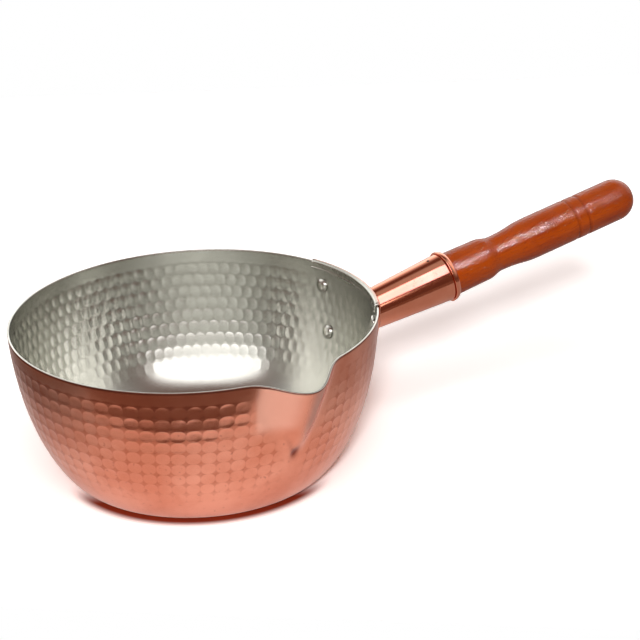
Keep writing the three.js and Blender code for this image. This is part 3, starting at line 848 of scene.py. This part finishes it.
# Painted shadow: for camera rays the paper is painted dark red-brown in a ring round the pan's
# foot, on its front side.
under_pan = spread(tree, from_axis(tree, where), 0.0862, 0.0787)
contact_shadow_share = times(tree, under_pan, spread(tree, away, -0.03, -0.055))
shaded = blend(tree, contact_shadow_share, paper_seen, painted_contact_shadow)
white = blend(tree, seen["Is Camera Ray"], white, shaded)
lit = node(tree, "ShaderNodeBsdfDiffuse", {"Color": white})
node(tree, "ShaderNodeOutputMaterial", {0: lit.outputs[0]})
paper.data.materials.append(paper_white)

room_dark, room_dim = (0.15, 0.07, 0.05, 1), (0.13, 0.065, 0.045, 1)
table_dark, ceiling_grey = (0.20, 0.13, 0.10, 1), (0.50, 0.49, 0.47, 1)
wall_grey, wall_white = (0.45, 0.44, 0.42, 1), (1.15, 1.15, 1.115, 1)
behind_white, open_white = (1.72, 1.72, 1.69, 1), (1, 1, 1, 1)
world = bpy.data.worlds.new("studio")
bpy.context.scene.world = world
world.use_nodes = True
tree = world.node_tree
tree.nodes.clear()
way = turned_to_photo(tree, node(tree, "ShaderNodeTexCoord").outputs["Generated"])
axes = node(tree, "ShaderNodeSeparateXYZ", {0: way}).outputs
turned_away = sums(tree, "ARCTAN2", sums(tree, "ABSOLUTE", axes[0]), times(tree, axes[1], -1.0))
turned_away = sums(tree, "DIVIDE", turned_away, np.pi)
walls = node(tree, "ShaderNodeValToRGB", {0: turned_away})
stops = walls.color_ramp.elements
stops.remove(stops[1])
stops[0].position, stops[0].color = 0.25, room_dark
for place, tone in ((0.44, wall_grey), (0.53, wall_white), (0.64, wall_white), (0.80, room_dark)):
    stops.new(place).color = tone
seen = node(tree, "ShaderNodeLightPath").outputs
above = spread(tree, axes[2], -0.02, 0.02)
mirrored = times(tree, above, seen["Is Glossy Ray"])
side_glow = times(tree, spread(tree, axes[2], 0.0, 0.6), spread(tree, axes[2], 0.97, 0.85))
behind = times(tree, spread(tree, axes[2], 0.82, 0.32), spread(tree, turned_away, 0.62, 0.80))
ceiling = spread(tree, axes[2], 0.90, 0.97)
room = blend(tree, above, table_dark, room_dim)
for share, tone in ((side_glow, walls.outputs[0]), (behind, behind_white), (ceiling, ceiling_grey)):
    room = blend(tree, times(tree, share, mirrored), room, tone)
open_view = sums(tree, "MAXIMUM", seen["Is Camera Ray"], seen["Is Transmission Ray"])
room = blend(tree, open_view, room, open_white)
sky = node(tree, "ShaderNodeBackground", {"Color": room, "Strength": 1.0})
node(tree, "ShaderNodeOutputWorld", {0: sky.outputs[0]})


def placed(right, up, back, spot):
    """Matrix of an object whose own X, Y and Z point along three directions, at a spot."""
    turning = np.stack([right, up, back], 1).tolist()
    return Matrix([[*row, at] for row, at in zip(turning, spot)] + [[0, 0, 0, 1]])


white_light, cool_light = (1, 1, 1), (0.95, 0.86, 1.15)
for name, kind, spot, target, energy, tint, size, serves in (
        ("front_lamp", "AREA", (-75, -475, 400), (-75, 0, 400),
         2.25, white_light, (1.08, 0.34), ()),
        ("socket_lamp", "AREA", (225, -194.5, 485), (209.5, -170.6, 389),
         0.71, cool_light, (0.182, 0.386), (socket, ferrule)),
        ("handle_lamp", "AREA", (350, -148, 441), (196, 81, 98),
         3.4, white_light, (0.045, 0.045), (wood,)),
        ("handle_strip", "AREA", (420, -150, 472), (220, 92, 106),
         0.12, white_light, (0.19, 0.02), (wood,)),
        ("overhead_light", "SUN", (0, -470, 883), (0, 0, 0), 1.45, white_light, 50.0, ()),
        ("front_light", "SUN", (-30, -818, 528), (0, 0, 0), 2.0, white_light, 11.0, ())):
    lamp = bpy.data.lights.new(name, kind)
    lamp.energy, lamp.color = energy, tint
    if kind == "AREA":
        lamp.shape = "ELLIPSE" if name == "front_lamp" else "RECTANGLE"
        lamp.size, lamp.size_y = size
    else:
        lamp.angle = np.radians(size)
    stand = bpy.data.objects.new(name, lamp)
    bpy.context.scene.collection.objects.link(stand)
    spot, target = np.array([spot, target], float) @ unturn / 1000
    toward = (target - spot) / np.linalg.norm(target - spot)
    level_way = np.cross(toward, [0, 0, 1])
    level_way /= np.linalg.norm(level_way)
    stand.matrix_world = placed(level_way, np.cross(level_way, toward), -toward, spot.tolist())
    if serves:
        lit_pieces = bpy.data.collections.new(name)
        for piece in serves:
            lit_pieces.objects.link(piece)
        stand.light_linking.receiver_collection = lit_pieces
    stand.visible_camera = False
    stand.visible_glossy, stand.visible_diffuse = kind == "AREA", kind == "SUN"

# Camera: at the photograph's place, looking down at the pan past the front of the handle.
# Its lens is long, and it is rolled a little to one side.
camera = bpy.data.cameras.new("photo_view")
camera.sensor_width, camera.sensor_height, camera.sensor_fit = 36.0, 36.0, "AUTO"
camera.lens = 101.25
camera.clip_start, camera.clip_end = 0.01, 20
camera_object = bpy.data.objects.new("photo_view", camera)
bpy.context.scene.collection.objects.link(camera_object)
camera_spot = [-0.34094, -0.89262, 0.48723]
yaw, pitch, roll = np.radians([25.24, 22.90, -2.03])
forward = np.array([np.sin(yaw) * np.cos(pitch), np.cos(yaw) * np.cos(pitch), -np.sin(pitch)])
flat_right = np.array([np.cos(yaw), -np.sin(yaw), 0])
flat_up = np.cross(flat_right, forward)
right = np.cos(roll) * flat_right + np.sin(roll) * flat_up
up = -np.sin(roll) * flat_right + np.cos(roll) * flat_up
camera_object.matrix_world = placed(right, up, -forward, camera_spot)
bpy.context.scene.camera = camera_object
bpy.context.scene.view_settings.view_transform = "Standard"
